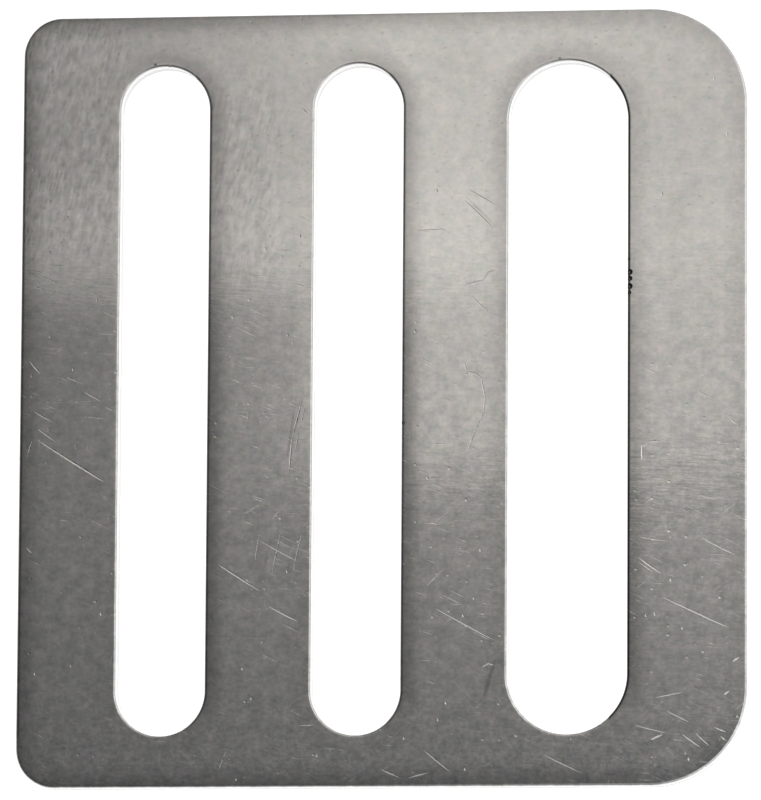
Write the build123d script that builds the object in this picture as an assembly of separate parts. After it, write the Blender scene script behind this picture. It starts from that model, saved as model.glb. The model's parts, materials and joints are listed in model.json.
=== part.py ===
"""Tri-glide slide: one flat steel plate, blanked and pierced, whose slots take a strap's webbing.

Units are millimetres. X runs across the slots from the narrow ones to the wide one, Y runs along the slots,
and +Z is up out of the face that the punches went in at. The origin is under the middle of the plate,
on the surface that its back lies on.
"""

from build123d import *
import os

# Strap that the slots are made for
webbing_width = 50.0
webbing_clearance = 2.0

# Sheet that the plate is blanked from
plate_thickness = 2.0

# Metal left beyond each end of a slot
end_margin = 4.0

# Across the plate, from left to right: bar, slot, bar, slot, bar, slot, bar
left_bar_width = 7.7
narrow_slot_width = 6.9
inner_bar_width = 8.2
wide_slot_width = 9.2
right_bar_width = 9.2

# Corners of the outline: tight beside the narrow slots, large beside the wide one
left_corner_radius = 3.0
right_corner_radius = 7.5

# Cut edges: rolled over on the face, where the punch enters, and only deburred on the back
face_edge_radius = 0.28
back_edge_radius = 0.15


def across_the_plate():
    """Overall width, and each slot's centre and width, counted from the plate's left edge."""
    slot_widths = [narrow_slot_width, narrow_slot_width, wide_slot_width]
    bars_after_slots = [inner_bar_width, inner_bar_width, right_bar_width]
    reached = left_bar_width
    slots = []
    for slot_width, bar_width in zip(slot_widths, bars_after_slots):
        slots.append((reached + slot_width / 2, slot_width))
        reached += slot_width + bar_width
    return reached, slots


def plate_profile():
    """The plate seen from above: a blank with rounded corners, pierced by slots with round ends."""
    width, slots = across_the_plate()
    slot_length = webbing_width + webbing_clearance
    blank = Rectangle(width, slot_length + 2 * end_margin)
    blank = fillet(blank.vertices().group_by(Axis.X)[-1], right_corner_radius)
    blank = fillet(blank.vertices().group_by(Axis.X)[0], left_corner_radius)
    for centre, slot_width in slots:
        blank -= Pos(centre - width / 2, 0) * SlotOverall(slot_length, slot_width, rotation=90)
    return blank


def slide_plate():
    """The profile at full thickness, with every cut edge rounded over on the face and on the back."""
    plate = extrude(plate_profile(), amount=plate_thickness)
    plate = fillet(plate.faces().sort_by(Axis.Z)[-1].edges(), face_edge_radius)
    return fillet(plate.faces().sort_by(Axis.Z)[0].edges(), back_edge_radius)


os.makedirs("parts", exist_ok=True)
slide = slide_plate()
slide.label = "slide_plate"
export_step(slide, "parts/slide_plate.step")
print("slide_plate", slide.bounding_box().size, "volume", round(slide.volume, 1))
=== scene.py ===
# %% [markdown]
# # A tri-glide slide of stainless steel
#
# A strap's webbing is threaded over and under the bars of this plate to set its length. The real thing is
# one piece, punched out of 2 mm sheet. The model of its exact shape is packed already. This lesson dresses
# it: it builds the plate once more with the soft edges that a punch leaves, scores it the way years of use
# do, gives it the sheen of rolled steel, and lights it from a soft ceiling.

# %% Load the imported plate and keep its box
import json
import math

import bmesh
import bpy
from mathutils import Matrix, Vector


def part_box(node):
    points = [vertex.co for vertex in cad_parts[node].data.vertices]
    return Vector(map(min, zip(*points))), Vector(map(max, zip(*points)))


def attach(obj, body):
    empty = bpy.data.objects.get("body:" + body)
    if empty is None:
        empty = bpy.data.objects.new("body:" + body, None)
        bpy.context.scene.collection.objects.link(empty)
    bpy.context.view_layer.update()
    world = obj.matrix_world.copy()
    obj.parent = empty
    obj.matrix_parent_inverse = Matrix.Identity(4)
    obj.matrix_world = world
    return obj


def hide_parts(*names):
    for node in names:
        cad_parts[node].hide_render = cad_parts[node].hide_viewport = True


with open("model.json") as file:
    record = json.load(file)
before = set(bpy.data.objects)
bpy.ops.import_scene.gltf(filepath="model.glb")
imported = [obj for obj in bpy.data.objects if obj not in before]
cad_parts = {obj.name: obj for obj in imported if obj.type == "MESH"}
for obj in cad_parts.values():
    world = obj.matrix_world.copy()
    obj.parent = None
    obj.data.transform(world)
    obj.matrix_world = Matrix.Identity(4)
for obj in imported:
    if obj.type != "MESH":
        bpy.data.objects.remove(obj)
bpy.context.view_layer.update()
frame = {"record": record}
plate_low, plate_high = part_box("slide_plate")
print("packed plate, mm:", [round(1000 * side, 2) for side in plate_high - plate_low])

# %% [markdown]
# ## Working in millimetres
#
# Blender counts in metres, and this plate is 2 mm thick. Every size below is therefore written in
# millimetres and multiplied by MM where it meets Blender. A few helpers keep each step clean: an operator
# works on whatever is selected, so each step starts by selecting one piece and nothing else.

# %% Helpers for size and selection
MM = 0.001


def pick(piece):
    """Makes a piece the only selected and active one."""
    bpy.ops.object.select_all(action="DESELECT")
    piece.select_set(True)
    bpy.context.view_layer.objects.active = piece


def open_mesh(piece, element):
    """Opens a piece in edit mode, set to pick one kind of element, with nothing picked."""
    pick(piece)
    bpy.ops.object.mode_set(mode="EDIT")
    bpy.ops.mesh.select_mode(type=element)
    bpy.ops.mesh.select_all(action="DESELECT")


def close_mesh():
    """Goes back to object mode."""
    bpy.ops.object.mode_set(mode="OBJECT")


def pick_in_mesh(piece, kind, wanted):
    """Picks the verts, edges or faces of an open piece for which wanted is true."""
    mesh = bmesh.from_edit_mesh(piece.data)
    for element in getattr(mesh, kind):
        element.select_set(bool(wanted(element)))
    mesh.select_flush_mode()
    bmesh.update_edit_mesh(piece.data)


def settle(piece):
    """Moves a piece's place and turn into its mesh, so that the object sits at the origin."""
    pick(piece)
    bpy.ops.object.transform_apply(location=True, rotation=True, scale=True)


# %% [markdown]
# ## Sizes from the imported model
#
# The plate's outer size is its box. The slots are the mounts of the record, so their places, widths and
# lengths are read from there and can't drift from the real part. Only the corner radii are repeated here.

# %% Read the plate and its slots
width, height, thickness = plate_high - plate_low
middle = (plate_low + plate_high) / 2
LEFT_CORNER_RADIUS = 3.0 * MM
RIGHT_CORNER_RADIUS = 7.5 * MM

slots = []
for mount in frame["record"]["mounts"]:
    if mount["kind"] == "slide":
        slots.append({
            "x": mount["pos_m"][0],
            "radius": mount["dims"]["hole_r_mm"] * MM,
            "length": mount["dims"]["slot_length_mm"] * MM,
        })
print("slots:", [(round(s["x"] / MM, 2), round(2 * s["radius"] / MM, 2)) for s in slots])

# %% [markdown]
# ## The blank
#
# A rectangle of sheet with four rounded corners. A cube is given the plate's size, and its upright corner
# edges are bevelled: tight on the left, large on the right. Many steps keep the arcs round up close.

# %% Cut the blank
CORNER_STEPS = 24

bpy.ops.object.select_all(action="DESELECT")
bpy.ops.mesh.primitive_cube_add(size=1, location=middle, scale=(width, height, thickness))
plate = bpy.context.active_object
plate.name = "punched_plate"
plate.data.name = "punched_plate"
settle(plate)


def round_corners(side, radius):
    """Bevels the two upright edges on one side of the blank."""
    open_mesh(plate, "EDGE")
    pick_in_mesh(plate, "edges", lambda edge: (
        abs(edge.verts[0].co.z - edge.verts[1].co.z) > thickness / 2
        and edge.verts[0].co.x * side > 0))
    bpy.ops.mesh.bevel(offset=radius, segments=CORNER_STEPS, affect="EDGES")
    close_mesh()


round_corners(1, RIGHT_CORNER_RADIUS)
round_corners(-1, LEFT_CORNER_RADIUS)
print("blank:", len(plate.data.vertices), "vertices")

# %% [markdown]
# ## The slots
#
# Each slot is pierced by a punch with round ends. A punch is easily made from a cylinder: its upper half is
# moved up and its lower half down, which stretches it and leaves both ends truly round. The cylinder is
# turned by half a step first, so that none of its corners lies on the line where it is parted. A boolean
# difference then does what the press does.

# %% Pierce the slots
PUNCH_STEPS = 96
PUNCH_DEPTH = 3 * thickness


def punch_for(slot):
    """A cylinder parted at its middle and drawn out to the slot's length."""
    bpy.ops.mesh.primitive_cylinder_add(
        vertices=PUNCH_STEPS, radius=slot["radius"], depth=PUNCH_DEPTH,
        location=(slot["x"], middle.y, middle.z), rotation=(0, 0, math.pi / PUNCH_STEPS))
    punch = bpy.context.active_object
    settle(punch)
    half_run = slot["length"] / 2 - slot["radius"]
    for end in (1, -1):
        open_mesh(punch, "VERT")
        pick_in_mesh(punch, "verts", lambda vertex: (vertex.co.y - middle.y) * end > 0)
        bpy.ops.transform.translate(value=(0, end * half_run, 0))
        close_mesh()
    return punch


def cut_away(piece, tool):
    """Takes the tool's volume out of the piece and removes the tool."""
    pick(piece)
    bpy.ops.object.modifier_add(type="BOOLEAN")
    cut = piece.modifiers[-1]
    cut.operation = "DIFFERENCE"
    cut.solver = "EXACT"
    cut.use_self = True
    cut.object = tool
    bpy.ops.object.modifier_apply(modifier=cut.name)
    bpy.data.objects.remove(tool)


for slot in slots:
    cut_away(plate, punch_for(slot))
print("pierced:", len(plate.data.polygons), "faces")

# %% [markdown]
# ## Edges that a punch leaves
#
# The punch drags the face down before it breaks through, so a punched edge isn't a sharp corner: the face
# sinks gently over its last stretch, then turns over in a small rounding. That roll-over is what draws
# the soft dark and bright bands round every opening. It is modelled as a staircase of insets that follow
# one formula: each inset is a little further in and a little higher than the one before. A last flat inset
# holds the shading of the rest of the face level.

# %% Roll the edges over
ROLL_REACH = 1.85
ROLL_SLOPE = 0.05
ROLL_STOPS = (0.1, 0.2, 0.32, 0.45, 0.6, 0.78, 1.0)
HOLDING_INSET = 0.03
RIM_RADIUS = 0.2
RIM_STEPS = 12
BACK_RADIUS = 0.15
BACK_STEPS = 10
LEVEL_ENOUGH = 0.9


def roll_at(distance):
    """How far the roll-over has sunk below the flat face.

    Its slope at a share s of the reach is (1 - s ** 2) ** 2 of the steepest, and this is the sum of that
    slope from there to the reach.
    """
    share = min(distance / ROLL_REACH, 1.0)
    return ROLL_SLOPE * ROLL_REACH * (8 / 15 - share + 2 * share ** 3 / 3 - share ** 5 / 5)


def rim_at(distance, radius):
    """How far the rounding at the wall lies below that: a quarter of a circle."""
    return radius - math.sqrt(radius ** 2 - (radius - min(distance, radius)) ** 2)


def roll_edges_over(up, rim_radius, rim_steps, roll_share, flat_stops):
    """Lowers one face of the plate and builds its edge back up, inset by inset."""
    stops = [rim_radius * (1 - math.cos(math.pi / 2 * step / rim_steps)) for step in range(rim_steps + 1)]
    stops += flat_stops
    drops = [rim_at(stop, rim_radius) + roll_share * roll_at(stop) for stop in stops]
    open_mesh(plate, "FACE")
    pick_in_mesh(plate, "faces", lambda face: face.normal.z * up > LEVEL_ENOUGH)
    bpy.ops.transform.translate(value=(0, 0, -up * drops[0] * MM))
    for step in range(len(stops) - 1):
        inward = stops[step + 1] - stops[step]
        rise = drops[step] - drops[step + 1]
        bpy.ops.mesh.inset(thickness=inward * MM, depth=rise * MM, use_even_offset=True)
    close_mesh()


face_stops = [RIM_RADIUS + share * (ROLL_REACH - RIM_RADIUS) for share in ROLL_STOPS]
roll_edges_over(1, RIM_RADIUS, RIM_STEPS, 1.0, face_stops + [ROLL_REACH + HOLDING_INSET])
roll_edges_over(-1, BACK_RADIUS, BACK_STEPS, 0.0, [BACK_RADIUS + HOLDING_INSET])
face_height = max(vertex.co.z for vertex in plate.data.vertices)
print("rolled:", len(plate.data.polygons), "faces, top at", round(face_height / MM, 3), "mm")

# %% [markdown]
# ## Scratches that can be felt
#
# The strongest scratches are real grooves: they keep their look from every side, and they glint where
# one flank turns to the light. The tool for one is a spindle, long, thin and square across, set into the
# face by half its depth, with its edge down. Near a punched edge it follows the face down. It is lifted by
# a hair, so that its widest ring stays clear of the face and the cut is clean. Each scratch is charted
# below by its two ends and its width in millimetres. A curved one is a chain of short spindles.

# %% Chart of the straight scratches
LEFT_BAR_SCRATCHES = [
    # from x, from y, to x, to y, width
    (-26.8, -3.0, -21.1, -6.6, 0.12),
    (-27.6, -0.2, -20.9, 0.0, 0.05),
    (-27.6, 9.1, -26.2, 8.6, 0.07),
    (-27.3, 10.0, -25.1, 9.1, 0.06),
    (-27.6, 3.3, -26.5, 2.0, 0.08),
    (-24.5, 1.8, -23.2, 1.3, 0.07),
    (-27.1, -0.8, -25.5, -1.7, 0.08),
    (-23.2, 0.7, -21.6, -0.2, 0.07),
    (-23.1, -1.3, -21.2, -1.4, 0.06),
    (-26.7, -2.2, -25.3, -3.2, 0.07),
    (-27.1, -3.0, -27.6, -4.6, 0.07),
    (-27.6, -11.3, -27.0, -11.9, 0.06),
]
INNER_BAR_SCRATCHES = [
    # from x, from y, to x, to y, width
    (-10.6, -8.9, -9.3, -8.3, 0.07),
    (-8.3, -9.4, -7.8, -8.8, 0.07),
    (-12.9, -12.6, -9.3, -14.9, 0.09),
    (-9.4, -11.0, -6.1, -12.8, 0.06),
    (-8.6, -16.1, -6.1, -17.4, 0.09),
    (-9.4, -10.7, -9.7, -12.6, 0.06),
    (-7.7, -10.3, -8.4, -13.7, 0.06),
    (-6.0, -10.0, -6.8, -13.7, 0.07),
    (-6.5, -25.3, -4.5, -25.2, 0.07),
    (-11.8, -27.2, -12.4, -28.8, 0.06),
    (-6.4, 22.7, -5.7, 21.9, 0.08),
    (-6.8, 8.9, -5.7, 8.6, 0.06),
    (6.3, 15.3, 8.8, 12.8, 0.08),
    (6.6, 16.1, 9.3, 14.5, 0.07),
    (2.1, 12.9, 4.9, 13.0, 0.05),
    (3.6, -14.6, 5.0, -13.2, 0.06),
    (4.2, -16.3, 9.3, -19.1, 0.08),
    (3.4, -27.2, 5.6, -29.0, 0.07),
    (0.0, -28.6, 1.8, -29.4, 0.07),
    (2.0, -29.4, 3.9, -28.9, 0.06),
]
RIGHT_BAR_SCRATCHES = [
    # from x, from y, to x, to y, width
    (19.5, -12.3, 21.6, -13.8, 0.1),
    (19.6, -12.7, 21.0, -13.7, 0.06),
    (19.4, -10.9, 22.0, -11.3, 0.06),
    (21.7, -15.6, 26.8, -18.0, 0.09),
    (24.7, -11.1, 27.8, -12.7, 0.07),
    (24.4, -7.8, 25.9, -8.1, 0.06),
    (21.1, -23.3, 23.2, -22.9, 0.045),
    (19.6, -25.4, 22.0, -26.0, 0.05),
    (25.5, -25.5, 26.9, -26.1, 0.08),
    (26.0, -26.2, 26.8, -26.7, 0.1),
    (23.2, -26.1, 24.6, -27.1, 0.07),
    (24.2, -26.0, 25.6, -27.3, 0.05),
    (22.0, -24.3, 23.8, -25.2, 0.05),
    (20.8, -26.5, 21.7, -26.1, 0.09),
    (26.4, -23.1, 26.8, -22.8, 0.09),
    (12.6, -27.6, 16.1, -29.3, 0.06),
    (27.0, -20.6, 27.6, -20.2, 0.1),
    (20.0, 2.2, 21.5, 1.5, 0.06),
    (26.6, -1.7, 27.6, -2.6, 0.06),
    (24.4, 0.1, 25.2, -0.2, 0.06),
]

# %% Chart of the curved scratches
CURVED_SCRATCHES = [
    # width, then the places that it passes
    (0.07, [
        (6.4, 2.6), (6.6, 1.9), (7.2, 1.8), (7.7, 1.4), (8.0, 0.0), (7.9, -1.3), (7.4, -2.3), (6.7, -4.2)]),
    (0.06, [(6.5, 8.7), (7.8, 9.0), (8.2, 9.6), (8.8, 9.8)]),
    (0.06, [(7.0, 7.7), (8.3, 6.4), (9.4, 6.1)]),
    (0.09, [(-6.0, 0.5), (-6.9, -3.1), (-7.1, -5.6)]),
    (0.07, [(-5.8, -0.3), (-6.4, -2.6), (-6.6, -3.9)]),
    (0.07, [(8.0, -20.8), (8.4, -20.6), (8.7, -20.7)]),
    (0.11, [(20.1, -4.9), (20.1, -4.0), (20.7, -3.6), (21.4, -3.6)]),
]

# %% Cut the scratches
FLANK_ANGLE = math.radians(13)
FLANK_SPREAD = 1.7
SPINDLE_SIDES = 4
SPINDLE_RINGS = 8
SPINDLE_LIFT = 0.0007
CHAIN_OVERLAP = 0.12


def surface_height(x, y):
    """Height of the plate's upper side at a place; near an edge it is lower than the flat face."""
    hit, place, _, _ = plate.ray_cast(Vector((x * MM, y * MM, 2 * face_height)), Vector((0, 0, -1)))
    return place.z if hit else face_height


def spindle(start, end, groove_width):
    """A spindle between two places on the face: square across, pointed at both ends, one edge down."""
    run = Vector(end) - Vector(start)
    centre = (Vector(end) + Vector(start)) / 2
    mouth = FLANK_SPREAD * groove_width
    groove_depth = mouth / 2 * math.tan(FLANK_ANGLE)
    bpy.ops.mesh.primitive_uv_sphere_add(
        segments=SPINDLE_SIDES, ring_count=SPINDLE_RINGS, radius=MM / 2,
        location=(centre.x * MM, centre.y * MM, surface_height(*centre) + SPINDLE_LIFT * MM),
        rotation=(0, math.pi / 2, math.atan2(run.y, run.x)),
        scale=(2 * groove_depth, mouth, run.length))
    tool = bpy.context.active_object
    settle(tool)
    return tool


def join_tools(tools):
    """Makes one tool of many."""
    bpy.ops.object.select_all(action="DESELECT")
    for tool in tools:
        tool.select_set(True)
    bpy.context.view_layer.objects.active = tools[0]
    bpy.ops.object.join()
    return tools[0]


scratch_tools = []
straight_scratches = LEFT_BAR_SCRATCHES + INNER_BAR_SCRATCHES + RIGHT_BAR_SCRATCHES
for from_x, from_y, to_x, to_y, groove_width in straight_scratches:
    scratch_tools.append(spindle((from_x, from_y), (to_x, to_y), groove_width))
for groove_width, places in CURVED_SCRATCHES:
    for start, end in zip(places, places[1:]):
        along = (Vector(end) - Vector(start)).normalized() * CHAIN_OVERLAP
        scratch_tools.append(spindle(Vector(start) - along, Vector(end) + along, groove_width))
print("scratches:", len(scratch_tools), "spindles")
cut_away(plate, join_tools(scratch_tools))
print("scratched:", len(plate.data.polygons), "faces")

# %% [markdown]
# ## Pits, specks and nicked edges
#
# Small dents catch the light as single bright or dark dots. A few stand out enough to be cut. A pit in the
# face is a spindle as short as it is wide. Where something hard has knocked the edges of the slots, the
# tool is a small ball, sunk into the rim.

# %% Cut the pits and nicks
FACE_PITS = [
    # x, y, radius
    (-22.2, 7.8, 0.08), (-24.0, 2.4, 0.08), (-23.9, -20.6, 0.07), (-26.7, -21.2, 0.08),
    (-21.6, -16.6, 0.09), (-10.6, -20.9, 0.07), (-9.9, -23.2, 0.07), (-11.0, -29.4, 0.07),
    (-4.8, -27.6, 0.07), (-7.2, -13.4, 0.08), (-6.9, 4.3, 0.07), (-6.4, 12.6, 0.09),
    (-7.3, 4.9, 0.08), (2.6, 5.1, 0.09), (3.6, -6.3, 0.08), (4.2, 16.0, 0.08),
    (6.4, -16.9, 0.08), (7.2, -15.6, 0.07), (7.7, -11.9, 0.08), (6.6, -28.7, 0.07),
    (5.1, -23.6, 0.08), (4.5, -24.9, 0.07), (1.9, -26.3, 0.07), (14.7, -26.4, 0.07),
    (22.3, -14.3, 0.08), (21.1, -16.9, 0.08), (20.4, -17.0, 0.07), (23.2, -18.0, 0.07),
    (23.7, -28.0, 0.08), (25.6, 24.4, 0.07), (21.6, 15.5, 0.08), (26.6, 20.1, 0.09),
]
EDGE_NICKS = [
    # x, y, radius of the ball
    (19.05, 10.5, 0.15), (19.13, 9.5, 0.25), (19.15, 9.0, 0.21), (19.13, 8.4, 0.25), (19.1, 7.9, 0.17),
    (1.7, -2.0, 0.15), (13.7, 26.2, 0.14), (-17.8, 26.2, 0.14), (-16.7, 26.1, 0.12),
]
NICK_DROP = 0.12


def ball(x, y, z, radius):
    """A small ball; only its height is in metres."""
    bpy.ops.mesh.primitive_ico_sphere_add(
        subdivisions=2, radius=radius * MM, location=(x * MM, y * MM, z))
    tool = bpy.context.active_object
    settle(tool)
    return tool


pit_tools = []
for x, y, radius in FACE_PITS:
    pit_tools.append(spindle((x - radius, y), (x + radius, y), 2 * radius))
for x, y, radius in EDGE_NICKS:
    pit_tools.append(ball(x, y, face_height - NICK_DROP * MM, radius))
cut_away(plate, join_tools(pit_tools))
print("pitted:", len(plate.data.polygons), "faces")

# %% [markdown]
# ## Smooth shading and a map for the grain
#
# Neighbouring faces that meet at a shallow angle are shaded as one surface, and the flanks of a scratch
# stay crisp. Rolled sheet has a grain, and its highlights stretch along one direction. The shader
# learns that direction from a UV map, so the plate gets a plain one, projected from the sides of a box.

# %% Shade and unwrap
SMOOTH_BELOW = math.radians(10)
GRAIN_MAP = "grain"
GRAIN_MAP_TILE = 10.0

pick(plate)
bpy.ops.object.shade_smooth_by_angle(angle=SMOOTH_BELOW)
open_mesh(plate, "FACE")
bpy.ops.mesh.select_all(action="SELECT")
bpy.ops.uv.cube_project(cube_size=GRAIN_MAP_TILE * MM)
close_mesh()
plate.data.uv_layers[0].name = GRAIN_MAP
triangle_count = sum(len(polygon.vertices) - 2 for polygon in plate.data.polygons)
print("triangles:", triangle_count)

# %% [markdown]
# ## Helpers for nodes
#
# A material is a small network of nodes. These helpers make it read like sums: one adds a node and feeds
# its inputs, and the others add, multiply, and rise softly from 0 to 1 across a line.

# %% Node helpers


def add_node(tree, kind, inputs, **options):
    """Adds a node; inputs maps a socket's name or number to a value or to another node's output."""
    node = tree.nodes.new("ShaderNode" + kind)
    for name, value in options.items():
        setattr(node, name, value)
    for name, value in inputs.items():
        if isinstance(value, bpy.types.NodeSocket):
            tree.links.new(value, node.inputs[name])
        else:
            node.inputs[name].default_value = value
    return node


def sums(tree, operation, first, second=0.0):
    """One step of arithmetic; each side is a number or another node's output."""
    return add_node(tree, "Math", {0: first, 1: second}, operation=operation).outputs[0]


def total(tree, *terms):
    """All the terms added up."""
    result = terms[0]
    for term in terms[1:]:
        result = sums(tree, "ADD", result, term)
    return result


def product(tree, *factors):
    """All the factors multiplied."""
    result = factors[0]
    for factor in factors[1:]:
        result = sums(tree, "MULTIPLY", result, factor)
    return result


def rest_of_one(tree, share):
    """What a share leaves of 1."""
    return sums(tree, "SUBTRACT", 1.0, share)


def soft_step(tree, value, at, softness):
    """Rises smoothly from 0 to 1 as value crosses a line; a negative softness makes it fall."""
    before, after = (0.0, 1.0) if softness > 0 else (1.0, 0.0)
    limits = {
        "Value": value, "From Min": at - abs(softness) / 2, "From Max": at + abs(softness) / 2,
        "To Min": before, "To Max": after,
    }
    return add_node(tree, "MapRange", limits, interpolation_type="SMOOTHSTEP").outputs[0]


def between(tree, value, low, high, softness):
    """1 between two levels of a value, 0 outside them, with soft borders."""
    return product(tree, soft_step(tree, value, low, softness), soft_step(tree, value, high, -softness))


def within(tree, axes, lines):
    """1 inside every line and 0 outside; a line is its axis, its place and its softness in mm."""
    steps = [soft_step(tree, axes.outputs[axis], at, softness) for axis, at, softness in lines]
    return product(tree, *steps)


def at_least(tree, share, least):
    """Squeezes a share, so that its 0 becomes the least and its 1 stays."""
    return total(tree, product(tree, share, 1 - least), least)


def centred(tree, value, strength):
    """Makes a noise swing about 0 instead of 0.5."""
    return product(tree, sums(tree, "SUBTRACT", value, 0.5), strength)


# %% [markdown]
# ## Three steels on one plate
#
# The rolled face, the cut wall and the flanks of the scratches are the same metal with three finishes, so
# the plate gets three materials. A face of the mesh that stands upright belongs to the wall. One that leans
# a little and lies just under the flat face belongs to a scratch. All others are rolled sheet.

# %% Three material slots
WALL_TOP = face_height / MM - RIM_RADIUS
STEEPEST_SHEET = 0.3
DEEPEST_SCRATCH = 0.034
FLATTEST_FLANK = math.radians(6)


def new_steel(name):
    """An empty metallic material on the plate; gives its nodes and its surface."""
    material = bpy.data.materials.new(name)
    material.use_nodes = True
    plate.data.materials.append(material)
    principled = material.node_tree.nodes["Principled BSDF"]
    principled.inputs["Metallic"].default_value = 1.0
    return material.node_tree, principled


plate.data.materials.clear()
sheet, sheet_surface = new_steel("rolled_stainless_steel")
cut, cut_surface = new_steel("punched_stainless_steel")
scraped, scraped_surface = new_steel("scraped_stainless_steel")
face_counts = [0, 0, 0]
for polygon in plate.data.polygons:
    lean, level = polygon.normal.z, polygon.center.z / MM
    finish = 0
    if abs(lean) < STEEPEST_SHEET and level < WALL_TOP:
        finish = 1
    elif 0 < lean < math.cos(FLATTEST_FLANK) and level > face_height / MM - DEEPEST_SCRATCH:
        finish = 2
    polygon.material_index = finish
    face_counts[finish] += 1
print("faces of sheet, wall and scratches:", face_counts)

# %% [markdown]
# ## Coordinates in millimetres
#
# All patterns are tied to the plate by its own coordinates, turned into millimetres, so a size in a node is
# a size on the plate. One helper turns and stretches them: along a lean in degrees a pattern gets long, and
# across it wide. A shift keeps two patterns with the same cells apart.

# %% Coordinates on the plate
SHIFT_SLANT = 0.6


def vector_step(tree, operation, first, second):
    """One step of arithmetic on places or colours; a number scales."""
    socket = "Scale" if operation == "SCALE" else 1
    return add_node(tree, "VectorMath", {0: first, socket: second}, operation=operation).outputs[0]


def place_in_mm(tree):
    """The piece's own coordinates in millimetres."""
    own_place = add_node(tree, "TexCoord", {}).outputs["Object"]
    return vector_step(tree, "SCALE", own_place, 1 / MM)


def turned(tree, place, lean, long, wide, shift):
    """The place in a grid that leans, whose cells are long by wide millimetres."""
    return add_node(tree, "Mapping", {
        "Vector": place, "Location": (shift, SHIFT_SLANT * shift, 0),
        "Rotation": (0, 0, math.radians(lean)), "Scale": (long, wide, 1)}, vector_type="TEXTURE").outputs[0]


def clouds(tree, place, lean, long, wide, shift, detail, roughness, dimensions="2D"):
    """Soft noise: one cloud in each cell of a grid, and finer clouds on it."""
    grid = turned(tree, place, lean, long, wide, shift)
    return add_node(tree, "TexNoise", {
        "Vector": grid, "Scale": 1.0, "Detail": detail, "Roughness": roughness},
        noise_dimensions=dimensions)


on_sheet = place_in_mm(sheet)
sheet_axes = add_node(sheet, "SeparateXYZ", {0: on_sheet})
across, along, above = sheet_axes.outputs[0], sheet_axes.outputs[1], sheet_axes.outputs[2]

# %% [markdown]
# ## Marks strewn at random
#
# Thousands of fine scratches, grains and specks are too many to cut, so they are bump: a height that only
# bends the reflection. A Voronoi pattern scatters one point in every cell of a grid. Stretched cells make
# each point a thin dash, the cell's random colour decides whether the dash shows and how deep it is, and
# the lean of the grid sets the way it runs.

# %% Strewn dashes
WEAKEST_DASH = 0.35


def strewn(lean, long, wide, reach, share, shift):
    """Dashes strewn over the sheet: 1 along the middle of each, falling to 0 at its border.

    Reach is how much of its cell a dash fills, and share is the part of the cells that has one.
    """
    grid = turned(sheet, on_sheet, lean, long, wide, shift)
    cells = add_node(sheet, "TexVoronoi", {"Vector": grid, "Scale": 1.0}, voronoi_dimensions="2D")
    chance = add_node(sheet, "SeparateColor", {0: cells.outputs["Color"]})
    shown = sums(sheet, "LESS_THAN", chance.outputs[0], share)
    strength = product(sheet, shown, at_least(sheet, chance.outputs[1], WEAKEST_DASH))
    fall = rest_of_one(sheet, sums(sheet, "DIVIDE", cells.outputs["Distance"], reach))
    return product(sheet, sums(sheet, "MAXIMUM", fall, 0.0), strength)


# %% [markdown]
# ## Where the marks are
#
# Handling has left most hairlines in the lower half, and the right-hand bar has the densest patch. The
# upper left corner is different: the mill's rolls left short upright dashes there, and a few beside the
# first slot. Each region lies between soft lines: the axis, the place, and the softness in millimetres,
# which is negative where the region ends.

# %% Regions of the sheet
LOWER_HALF = [("Y", 4.0, -24.0)]
LEAST_MARKS = 0.45
LOWEST_PART = [("Y", -22.0, -14.0)]
LOWER_RIGHT = [("X", 16.0, 8.0), ("Y", -24.0, 5.0), ("Y", -9.0, -5.0)]
RIGHT_SIDE = [("X", 12.0, 16.0)]
UPPER_LEFT_CORNER = [("X", -20.0, -3.0), ("Y", 11.0, 6.0), ("Y", 31.0, -6.0)]
BESIDE_FIRST_SLOT = [("X", -14.0, 2.0), ("X", -8.0, -2.0), ("Y", 9.0, 6.0), ("Y", 25.0, -6.0)]
GRAIN_BESIDE_SLOT = 0.8

low_only = within(sheet, sheet_axes, LOWER_HALF)
low_mostly = at_least(sheet, low_only, LEAST_MARKS)
lower_right = within(sheet, sheet_axes, LOWER_RIGHT)
upper_left_corner = within(sheet, sheet_axes, UPPER_LEFT_CORNER)
beside_first_slot = product(sheet, within(sheet, sheet_axes, BESIDE_FIRST_SLOT), GRAIN_BESIDE_SLOT)
grain_region = total(sheet, upper_left_corner, beside_first_slot)

# %% [markdown]
# ## Heights on the sheet
#
# The hairlines run mostly one way, from the upper left down to the right, and fewer lie across them. Fine
# mill lines along the sheet and a slow wave under it all bend the reflection just enough to make the soft
# borders in it streaky.

# %% Heights in millimetres
# lean, cell length, cell width, reach, share, shift
HAIRLINES = [
    (-27, 3.4, 0.16, 0.34, 0.03, 3.0),
    (-20, 1.6, 0.15, 0.33, 0.035, 11.0),
    (38, 2.2, 0.15, 0.34, 0.018, 23.0),
    (82, 2.0, 0.15, 0.34, 0.02, 37.0),
    (-4, 2.2, 0.14, 0.34, 0.028, 51.0),
]
EXTRA_LINES = (-27, 2.4, 0.16, 0.34, 0.06, 71.0)
FINE_SPECKS = (0, 0.62, 0.62, 0.12, 0.2, 83.0)
COARSE_SPECKS = (0, 1.3, 1.3, 0.095, 0.14, 91.0)
GRAIN_DASHES = (78, 1.1, 0.34, 0.55, 0.55, 5.0)
HAIRLINE_DEPTH = 0.0058
FINE_SPECK_DEPTH = 0.007
COARSE_SPECK_DEPTH = 0.018
GRAIN_DEPTH = 0.004

# lean, cloud length, cloud width, shift, detail, roughness
MILL_LINES = (-4, 1.7, 0.3, 0.0, 2.0, 0.65)
SLOW_WAVE = (0, 8.0, 8.0, 2.0, 0.0, 0.5)
MILL_LINE_HEIGHT = 0.0058
LEAST_MILL_LINES = 0.42
WAVE_HEIGHT = 0.02

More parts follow.
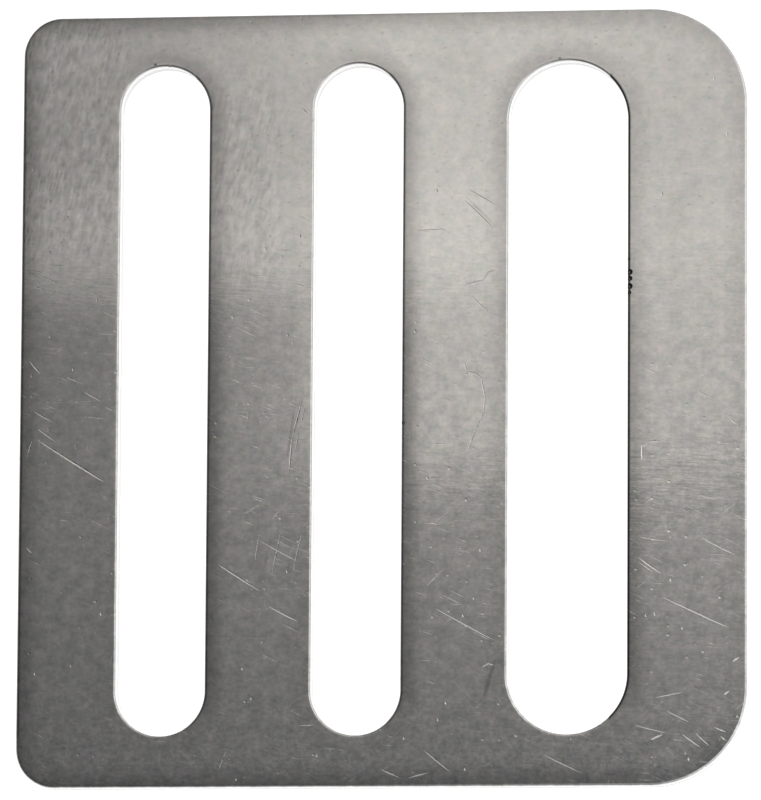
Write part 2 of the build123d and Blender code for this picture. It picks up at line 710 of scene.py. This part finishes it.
hairlines = product(sheet, total(sheet, *[strewn(*row) for row in HAIRLINES]), low_mostly)
extra_lines = product(sheet, strewn(*EXTRA_LINES), lower_right)
fine_specks = product(sheet, strewn(*FINE_SPECKS), low_mostly)
coarse_specks = product(sheet, strewn(*COARSE_SPECKS), low_mostly)
grain_dashes = product(sheet, strewn(*GRAIN_DASHES), grain_region)

more_to_the_right = at_least(sheet, within(sheet, sheet_axes, RIGHT_SIDE), LEAST_MILL_LINES)
mill_lines = centred(sheet, clouds(sheet, on_sheet, *MILL_LINES).outputs[0], MILL_LINE_HEIGHT)
wave = centred(sheet, clouds(sheet, on_sheet, *SLOW_WAVE).outputs[0], WAVE_HEIGHT)
sheet_height = total(sheet, product(sheet, mill_lines, more_to_the_right), wave)
for dents, depth in (
        (hairlines, HAIRLINE_DEPTH), (extra_lines, HAIRLINE_DEPTH), (fine_specks, FINE_SPECK_DEPTH),
        (coarse_specks, COARSE_SPECK_DEPTH), (grain_dashes, GRAIN_DEPTH)):
    sheet_height = sums(sheet, "SUBTRACT", sheet_height, product(sheet, dents, depth))
print("nodes up to the heights:", len(sheet.nodes))

# %% [markdown]
# ## Painted shade along the edges
#
# The sheet is painted darker beside each punched edge, a painted shade, and its own height tells where
# that is. A band of painted shade runs along the right side of each slot, most of all low down. The small
# rounding at the wall carries a dark line of painted shade on the plate's left side and on the right side
# of each slot, most of all in the wide one.

# %% Losses of brightness along the edges
EDGE_FALL = 1 / 3
RIM_FADE_START = 0.03
RIM_FADE = 0.05
# A band of painted shade along the right side of each slot, most of all low down.
SHADE_BAND_BORDER = 0.6
SHADE_BAND_REACH = 1.6
SHADE_BAND_END = 23.5
SHADE_BAND_LOW_DOWN = [("Y", 9.0, -18.0)]
LEAST_SHADE_BAND = 0.25
# A dark line of painted shade on the rounding at the wall: on the plate's left side and on the right side
# of each slot, darkest in the wide one.
LEFT_SIDE_RIM_SHADE = 0.6
SLOT_RIM_SHADE = (0.5, 0.45, 0.85)
RIM_SHADE_FROM = 0.7
RIM_SHADE_BESIDE = 0.35
RIM_SHADE_BORDER = 0.2
RIM_SHADE_FLOOR = 0.5
RIM_SHADE_FLOOR_BORDER = 0.012
RIM_SHADE_END = 27.0
END_SOFTNESS = 3.0

# Painted shade beside each punched edge: near_edge grows towards the edge across the roll-over and fades
# out on the rounding.
below_face = sums(sheet, "MAXIMUM", sums(sheet, "SUBTRACT", face_height / MM, above), 0.0)
rolled_share = sums(sheet, "MINIMUM", sums(sheet, "DIVIDE", below_face, roll_at(0.0)), 1.0)
off_the_rim = soft_step(sheet, below_face, roll_at(0.0) + RIM_FADE_START, -RIM_FADE)
near_edge = product(sheet, sums(sheet, "POWER", rolled_share, EDGE_FALL), off_the_rim)

# The band of painted shade beside each slot's right side.
shade_band = 0.0
for slot in slots:
    right_side = (slot["x"] + slot["radius"]) / MM
    past_slot = soft_step(sheet, across, right_side - SHADE_BAND_BORDER / 2, SHADE_BAND_BORDER)
    before_end = soft_step(sheet, across, right_side + SHADE_BAND_REACH / 2, -SHADE_BAND_REACH)
    shade_band = total(sheet, shade_band, product(sheet, past_slot, before_end))
shade_band_stretch = between(sheet, along, -SHADE_BAND_END, SHADE_BAND_END, END_SOFTNESS)
shade_band_lower = at_least(sheet, within(sheet, sheet_axes, SHADE_BAND_LOW_DOWN), LEAST_SHADE_BAND)
shade_band = product(sheet, shade_band, shade_band_stretch, shade_band_lower)

# The rims that carry painted shade, with how dark each is.
left_side = plate_low.x / MM
rim_shaded_sides = [(left_side - RIM_SHADE_BESIDE, left_side + RIM_SHADE_BESIDE, LEFT_SIDE_RIM_SHADE)]
for slot, loss in zip(sorted(slots, key=lambda one: one["x"]), SLOT_RIM_SHADE):
    rim_shade_start = (slot["x"] + RIM_SHADE_FROM * slot["radius"]) / MM
    rim_shade_end = (slot["x"] + slot["radius"]) / MM + RIM_SHADE_BESIDE
    rim_shaded_sides.append((rim_shade_start, rim_shade_end, loss))
rim_shade = 0.0
for start, end, loss in rim_shaded_sides:
    rim_shade = total(sheet, rim_shade, product(sheet, between(sheet, across, start, end, RIM_SHADE_BORDER), loss))
on_rim = between(sheet, below_face, roll_at(RIM_RADIUS), RIM_SHADE_FLOOR, RIM_SHADE_FLOOR_BORDER)
rim_shade = product(sheet, rim_shade, on_rim, between(sheet, along, -RIM_SHADE_END, RIM_SHADE_END, END_SOFTNESS))
print("nodes up to the edges:", len(sheet.nodes))

# %% [markdown]
# ## Smears and painted light
#
# Old scratches have filled with dirt. Two broad ellipses of painted shade darken parts of the upper half,
# and painted highlights brighten two scratches and a few places along the right side and in the lower
# right corner. Each is a soft ellipse drawn along a line. Its loss is negative where it is brighter than
# the sheet.

# %% Smears and painted light along lines
SMEARS_AND_PAINTED_LIGHT = [
    # from x, from y, to x, to y, reach to each side, loss
    # dirt in old scratches
    (8.9, -20.2, 8.4, -21.8, 0.2, 0.32),
    (8.5, -21.4, 8.0, -23.4, 0.22, 0.34),
    (-6.0, 0.7, -7.1, -4.0, 0.13, 0.3),
    (-6.6, 0.1, -7.4, -5.4, 0.12, 0.26),
    (-8.3, -9.9, -9.3, -14.6, 0.16, 0.12),
    (6.1, 15.9, 9.0, 12.9, 0.13, 0.2),
    # painted shade: broad, faint darker ellipses
    (2.0, 27.6, 9.5, 24.6, 3.6, 0.08),
    (21.4, 15.2, 24.2, 13.6, 3.4, 0.07),
    # painted highlights along two scratches
    (-10.7, -9.0, -9.3, -8.2, 0.11, -0.65),
    (-8.4, -9.4, -7.8, -8.7, 0.1, -0.5),
    # painted highlights along the right side and in the lower right corner
    (26.9, 5.0, 26.9, -2.5, 1.3, -0.07),
    (26.9, 21.0, 26.9, 16.0, 1.2, -0.06),
    (20.0, -28.6, 25.0, -28.0, 1.4, -0.12),
    (26.7, -22.6, 26.3, -25.6, 1.6, -0.09),
]


def ellipse_along_line(from_x, from_y, to_x, to_y, reach, loss):
    """The loss of brightness round a line on the sheet: full at its middle, none at its border."""
    run = Vector((to_x - from_x, to_y - from_y))
    grid = add_node(sheet, "Mapping", {
        "Vector": on_sheet, "Location": ((from_x + to_x) / 2, (from_y + to_y) / 2, 0),
        "Rotation": (0, 0, math.atan2(run.y, run.x)), "Scale": (run.length / 2, reach, 1)},
        vector_type="TEXTURE").outputs[0]
    axes = add_node(sheet, "SeparateXYZ", {0: grid}).outputs
    away = total(sheet, product(sheet, axes[0], axes[0]), product(sheet, axes[1], axes[1]))
    return product(sheet, sums(sheet, "MAXIMUM", rest_of_one(sheet, away), 0.0), loss)


# Dirt, painted shade and painted highlights, added up.
smears_and_painted_light = total(sheet, *[ellipse_along_line(*row) for row in SMEARS_AND_PAINTED_LIGHT])
print("nodes up to the smears:", len(sheet.nodes))

# %% [markdown]
# ## Colour and gloss of the sheet
#
# Bare stainless steel is nearly neutral, a touch warm. Handling has stained it in faint blotches of every
# size, a little pink here and green there. The corner's grain is streaky, the upper half has dark flecks of
# painted shade, and grit has mottled the lowest part. In the lower half the marks are painted brighter: a
# painted glint.

# %% Stains and flecks
# lean, cloud length, cloud width, shift, detail, roughness
STAINS = (0, 1.2, 1.05, 9.0, 2.5, 0.9)
GRAIN_STREAKS = (78, 1.1, 0.55, 4.0, 1.0, 0.6)
GRIT = (0, 0.42, 0.34, 27.0, 1.5, 0.7)
STAIN_STRENGTH = 0.74
GRAIN_STREAK_STRENGTH = 0.55
GRIT_STRENGTH = 0.5

# lean, cell length, cell width, reach, share, shift
FLECKS = (8, 0.9, 0.5, 0.2, 0.16, 17.0)

stains = clouds(sheet, on_sheet, *STAINS)
stain_parts = add_node(sheet, "SeparateColor", {0: stains.outputs["Color"]})
blotches = product(sheet, centred(sheet, stains.outputs[0], STAIN_STRENGTH), low_mostly)
streaks = centred(sheet, clouds(sheet, on_sheet, *GRAIN_STREAKS).outputs[0], GRAIN_STREAK_STRENGTH)
streaks = product(sheet, streaks, grain_region)
grit = centred(sheet, clouds(sheet, on_sheet, *GRIT).outputs[0], GRIT_STRENGTH)
grit = product(sheet, grit, within(sheet, sheet_axes, LOWEST_PART))
# Dark flecks of painted shade, in the upper half only.
flecks = product(sheet, strewn(*FLECKS), rest_of_one(sheet, low_only))

# %% Colour and gloss
STEEL_COLOUR = (0.58, 0.578, 0.57)
# painted shade beside the punched edges
EDGE_PAINTED_SHADE = 0.2
# painted shade along the right side of each slot
SHADE_BAND_LOSS = 0.25
GRAIN_DARKENING = 0.15
# painted shade in the flecks of the upper half
FLECK_PAINTED_SHADE = 0.3
# painted glint of the marks in the lower half
PAINTED_LINE_GLINT = 0.18
PAINTED_SPECK_GLINT = 0.45
MIDDLE_GREY = (0.5, 0.5, 0.5)
TINT_STRENGTH = 0.14
SHEET_ROUGHNESS = 0.175
ROUGHNESS_SWING = 0.06

brightness = total(sheet, 1.0, blotches, streaks, grit)
# Each loss darkens the colour: painted shade beside the edges, along the right side of each slot, in the
# flecks of the upper half and on the rims; the grain's dashes; and the smears, which hold dirt, painted
# shade and painted highlights.
for dimming, loss in (
        (near_edge, EDGE_PAINTED_SHADE), (shade_band, SHADE_BAND_LOSS), (grain_dashes, GRAIN_DARKENING),
        (flecks, FLECK_PAINTED_SHADE), (rim_shade, 1.0), (smears_and_painted_light, 1.0)):
    brightness = product(sheet, brightness, rest_of_one(sheet, product(sheet, dimming, loss)))
# Painted glint: the marks are painted brighter in the lower half.
for marks, gain in (
        (hairlines, PAINTED_LINE_GLINT), (extra_lines, PAINTED_LINE_GLINT),
        (fine_specks, PAINTED_SPECK_GLINT), (coarse_specks, PAINTED_SPECK_GLINT)):
    brightness = total(sheet, brightness, product(sheet, marks, low_only, gain))

tint = vector_step(sheet, "SUBTRACT", stains.outputs["Color"], MIDDLE_GREY)
tint = vector_step(sheet, "ADD", vector_step(sheet, "SCALE", tint, TINT_STRENGTH), (1, 1, 1))
colour = vector_step(sheet, "SCALE", vector_step(sheet, "MULTIPLY", tint, STEEL_COLOUR), brightness)
roughness = total(sheet, SHEET_ROUGHNESS, centred(sheet, stain_parts.outputs[2], ROUGHNESS_SWING))

# %% [markdown]
# ## The finished sheet
#
# The colour, the gloss and the heights meet in one metallic surface. Its reflections are stretched along
# the sheet's grain by the anisotropy, whose direction comes from the UV map.

# %% Put the rolled steel together
SHEET_ANISOTROPY = 0.8

sheet_bump = add_node(sheet, "Bump", {"Height": sheet_height, "Distance": MM, "Strength": 1.0})
grain_direction = add_node(sheet, "Tangent", {}, direction_type="UV_MAP", uv_map=GRAIN_MAP)
sheet.links.new(colour, sheet_surface.inputs["Base Color"])
sheet.links.new(roughness, sheet_surface.inputs["Roughness"])
sheet.links.new(sheet_bump.outputs[0], sheet_surface.inputs["Normal"])
sheet.links.new(grain_direction.outputs[0], sheet_surface.inputs["Tangent"])
sheet_surface.inputs["Anisotropic"].default_value = SHEET_ANISOTROPY
print("nodes of the rolled steel:", len(sheet.nodes))

# %% [markdown]
# ## The cut wall
#
# A punched wall has two bands. Next to the face the punch has sheared it bright, with drag lines straight
# down. Below that the metal tore, and the wall is duller and grainy. The border between the two wanders.

# %% Steel of the wall
WALL_COLOUR = (0.65, 0.645, 0.64)
SHEARED_SHARE = 0.45
WANDER = 0.7
TORN_BORDER = 0.15
TORN_DARKENING = 0.16
TORN_GRAIN = 0.012
DRAG_LINE_HEIGHT = 0.003
SHEARED_ROUGHNESS = 0.22
TORN_ROUGHNESS = 0.34

# lean, cloud length, cloud width, shift, detail, roughness
WANDERING = (0, 2.0, 2.0, 0.0, 2.0, 0.5)
TORN_GRAINS = (0, 0.15, 0.15, 0.0, 2.0, 0.6)
DRAG_LINES = (0, 0.16, 0.16, 0.0, 2.0, 0.6)

on_wall = place_in_mm(cut)
wall_level = add_node(cut, "SeparateXYZ", {0: on_wall}).outputs[2]
wander = centred(cut, clouds(cut, on_wall, *WANDERING).outputs[0], WANDER)
torn_line = total(cut, (1 - SHEARED_SHARE) * thickness / MM, wander)
torn = soft_step(cut, sums(cut, "SUBTRACT", wall_level, torn_line), 0.0, -TORN_BORDER)
grainy = centred(cut, clouds(cut, on_wall, *TORN_GRAINS, "3D").outputs[0], TORN_GRAIN)
drag_lines = centred(cut, clouds(cut, on_wall, *DRAG_LINES).outputs[0], DRAG_LINE_HEIGHT)
wall_height = total(cut, product(cut, torn, grainy), drag_lines)
wall_bump = add_node(cut, "Bump", {"Height": wall_height, "Distance": MM, "Strength": 1.0})
wall_brightness = rest_of_one(cut, product(cut, torn, TORN_DARKENING))
wall_colour = vector_step(cut, "SCALE", WALL_COLOUR, wall_brightness)
wall_roughness = total(cut, SHEARED_ROUGHNESS, product(cut, torn, TORN_ROUGHNESS - SHEARED_ROUGHNESS))
cut.links.new(wall_colour, cut_surface.inputs["Base Color"])
cut.links.new(wall_roughness, cut_surface.inputs["Roughness"])
cut.links.new(wall_bump.outputs[0], cut_surface.inputs["Normal"])
print("nodes of the wall:", len(cut.nodes))

# %% [markdown]
# ## The flanks of the scratches
#
# Whatever cut them skidded and skipped, so they are clean bright metal, here smoother and there rougher.

# %% Steel of the scratches
SCRAPED_COLOUR = (0.7, 0.692, 0.685)
SCRAPED_ROUGHNESS = 0.32
SKIP_SWING = 0.5

# lean, cloud length, cloud width, shift, detail, roughness
SKIPS = (0, 0.3, 0.3, 0.0, 1.0, 0.6)

in_scratch = place_in_mm(scraped)
skips = centred(scraped, clouds(scraped, in_scratch, *SKIPS).outputs[0], SKIP_SWING)
scraped.links.new(total(scraped, SCRAPED_ROUGHNESS, skips), scraped_surface.inputs["Roughness"])
scraped_surface.inputs["Base Color"].default_value = (*SCRAPED_COLOUR, 1)
print("nodes of the scratches:", len(scraped.nodes))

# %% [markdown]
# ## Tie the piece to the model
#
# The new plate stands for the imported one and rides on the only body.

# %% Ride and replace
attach(plate, "root")
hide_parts("slide_plate")

# %% [markdown]
# ## A white table
#
# The plate lies on a plain white floor. A floor that only reflects would turn grey, so it also glows a
# little: it stays white, and the walls of the slots that face the camera mirror it.

# %% Floor
FLOOR_SIZE = 12.0
FLOOR_COLOUR = (0.8, 0.8, 0.8, 1)
FLOOR_ROUGHNESS = 0.9
FLOOR_GLOW = 0.95

bpy.ops.object.select_all(action="DESELECT")
bpy.ops.mesh.primitive_plane_add(size=FLOOR_SIZE, location=(0, 0, 0))
floor = bpy.context.active_object
floor.name = "white_table"
white = bpy.data.materials.new("white_table")
white.use_nodes = True
paint = white.node_tree.nodes["Principled BSDF"]
paint.inputs["Base Color"].default_value = FLOOR_COLOUR
paint.inputs["Roughness"].default_value = FLOOR_ROUGHNESS
paint.inputs["Specular IOR Level"].default_value = 0.0
paint.inputs["Emission Color"].default_value = (1, 1, 1, 1)
paint.inputs["Emission Strength"].default_value = FLOOR_GLOW
floor.data.materials.append(white)

# %% [markdown]
# ## The camera
#
# A long lens, almost straight above the plate: a little to its right and a little below, so that the walls
# on the left and top sides of the openings show as thin lines.

# %% Camera
CAMERA_PLACE = Vector((75.1, -82.2, 606.2)) * MM
CAMERA_TARGET = Vector((-0.07, -0.22, 2.0)) * MM
CAMERA_ROLL = math.radians(-0.36)
CAMERA_LENS = 360.0
CAMERA_SENSOR = 36.0
CAMERA_NEAR = 10.0

camera_data = bpy.data.cameras.new("camera")
camera = bpy.data.objects.new("camera", camera_data)
bpy.context.scene.collection.objects.link(camera)
camera_data.sensor_width = CAMERA_SENSOR
camera_data.lens = CAMERA_LENS
camera_data.clip_start = CAMERA_NEAR * MM
back = (CAMERA_PLACE - CAMERA_TARGET).normalized()
level_up = (Vector((0, 1, 0)) - back * back.y).normalized()
level_right = level_up.cross(back)
up = level_up * math.cos(CAMERA_ROLL) + level_right * math.sin(CAMERA_ROLL)
right = up.cross(back)
turn = Matrix((right, up, back)).transposed().to_4x4()
camera.matrix_world = Matrix.Translation(CAMERA_PLACE) @ turn
bpy.context.scene.camera = camera
print("camera to plate, mm:", round((CAMERA_PLACE - CAMERA_TARGET).length / MM, 1))

# %% [markdown]
# ## A lit ceiling
#
# Flat metal shows what it mirrors, so the light is a ceiling of soft patches over the plate. The borders
# of its patches are the two soft lines across the bars. It glows by itself, fades towards the left and the
# front, and is brightest to the right, where the edges and scratches that lean that way catch it. Far out
# on all sides it is an even grey, which is what the face mirrors when it is seen from low down.

# %% Ceiling
CEILING_HEIGHT = 102.0
CEILING_SIZE = 500.0

bpy.ops.object.select_all(action="DESELECT")
bpy.ops.mesh.primitive_plane_add(size=CEILING_SIZE * MM, location=(0, 0, CEILING_HEIGHT * MM))
ceiling = bpy.context.active_object
ceiling.name = "lit_ceiling"
settle(ceiling)
ceiling.visible_camera = False
ceiling.visible_diffuse = False
ceiling.visible_shadow = False

# %% Patches of light
BASE_GLOW = 0.18

# strength, then the lines that it lies between: axis, place and softness in mm, negative where it ends
PATCHES = [
    (0.39, [("Y", -12, 40), ("X", -8, 150), ("X", 58, -20)]),
    (0.23, [("Y", 7, 2.3), ("X", -14, 15)]),
    (0.25, [("Y", 5, 2), ("X", -18, 11), ("X", 3, -20)]),
    (0.22, [("Y", 23, 2), ("X", -48, 60), ("X", -5, -22)]),
    (0.17, [("Y", 24.6, 2), ("Y", 33, -5)]),
    (0.10, [("Y", 40, 12)]),
]
SHADES = [
    (0.97, [("X", -62, -26)]),
    (0.50, [("Y", -36, -26), ("X", 5, -50)]),
    (0.06, [("Y", 52, 14)]),
    (0.45, [("Y", 56, 20), ("X", -8, -50)]),
]
OUTER_PATCHES = [
    (1.50, [("X", 66, 44), ("X", 118, -40), ("Y", -60, 40), ("Y", 90, -50)]),
    (0.90, [("X", 48, 20), ("X", 65, -70), ("Y", -60, -30), ("Y", -130, 60)]),
    (0.50, [("X", 60, 60)]),
    (0.50, [("X", 0, 40), ("Y", -48, -34), ("Y", -130, 40)]),
    (0.38, [("X", -122, -50)]),
    (0.30, [("Y", -110, -60)]),
]

COOL_WHITE = (1.0, 1.0, 1.0, 1)
WARM_WHITE = (1.05, 1.0, 0.94, 1)

glow_material = bpy.data.materials.new("lit_ceiling")
glow_material.use_nodes = True
glow = glow_material.node_tree
glow.nodes.clear()
ceiling_axes = add_node(glow, "SeparateXYZ", {0: place_in_mm(glow)})


def lit(strength, lines):
    """A glow of the given strength between its lines."""
    return product(glow, within(glow, ceiling_axes, lines), strength)


shade = product(glow, *[rest_of_one(glow, lit(strength, lines)) for strength, lines in SHADES])
warm_glow = product(glow, shade, total(glow, *[lit(strength, lines) for strength, lines in PATCHES]))
cool_glow = product(glow, shade, BASE_GLOW)
cool_glow = total(glow, cool_glow, *[lit(strength, lines) for strength, lines in OUTER_PATCHES])
cool = add_node(glow, "Emission", {"Color": COOL_WHITE, "Strength": cool_glow})
warm = add_node(glow, "Emission", {"Color": WARM_WHITE, "Strength": warm_glow})
both = add_node(glow, "AddShader", {0: cool.outputs[0], 1: warm.outputs[0]})
add_node(glow, "OutputMaterial", {"Surface": both.outputs[0]})
ceiling.data.materials.append(glow_material)
print("nodes of the ceiling:", len(glow.nodes))

# %% [markdown]
# ## The room beyond
#
# Past the ceiling's border a rounded edge mirrors the room: bright to the right, dim to the left and to the
# front. The world is a plain sweep from one to the other.

# %% World
ROOM_LEVEL = 0.55
ROOM_SWING = 0.6
ROOM_LEAN = 0.1
ROOM_DIMMEST = 0.26

world = bpy.data.worlds.new("studio")
bpy.context.scene.world = world
world.use_nodes = True
sky = world.node_tree
looking = add_node(sky, "TexCoord", {}).outputs["Generated"]
sky_axes = add_node(sky, "SeparateXYZ", {0: looking})
to_the_right = product(sky, sky_axes.outputs[0], ROOM_SWING)
to_the_back = product(sky, sky_axes.outputs[1], ROOM_LEAN)
sweep = total(sky, ROOM_LEVEL, to_the_right, to_the_back)
background = sky.nodes["Background"]
background.inputs["Color"].default_value = (1, 1, 1, 1)
sky.links.new(sums(sky, "MAXIMUM", sweep, ROOM_DIMMEST), background.inputs["Strength"])
print("nodes of the room:", len(sky.nodes))

# %% [markdown]
# ## Plain tones
#
# The Standard view transform shows the tones as they are, so a white table is white.

# %% View transform
bpy.context.scene.view_settings.view_transform = "Standard"
